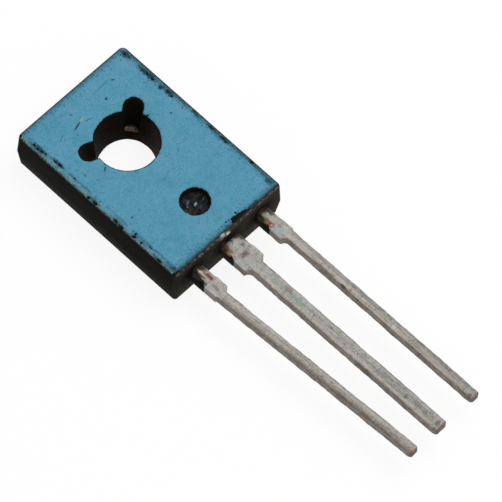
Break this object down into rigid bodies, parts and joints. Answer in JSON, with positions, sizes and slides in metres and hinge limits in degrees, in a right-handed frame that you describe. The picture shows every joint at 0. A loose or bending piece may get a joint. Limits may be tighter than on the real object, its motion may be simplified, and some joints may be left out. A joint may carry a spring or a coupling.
{
  "type": "bipolar junction transistor",
  "caption": "Flat plastic power transistor with a painted marking face, a screw hole, a bare heat plate in its back and flat tinned leads for soldering.",
  "frame": {"origin": "centre of the mounting hole on the back of the body", "axes": "+Z out of the marking face, -Y along the leads, +X to the right when the marking face is seen with the leads down"},
  "size_m": [0.0074, 0.0251, 0.0026],
  "materials": {
    "epoxy": "black moulding compound, worn satin",
    "paint": "blue paint, mottled and chipped at the edges",
    "tinned_copper": "dull tin dip over copper, stained",
    "silicon": "polished silicon",
    "solder": "dull solder",
    "bond_wire": "drawn wire"
  },
  "bodies": {
    "root": {"body": "epoxy", "marking_paint": "paint", "collector_frame": "tinned_copper", "emitter_lead": "tinned_copper", "base_lead": "tinned_copper", "die": "silicon", "die_solder": "solder", "emitter_wire": "bond_wire", "base_wire": "bond_wire"}
  },
  "joints": []
}
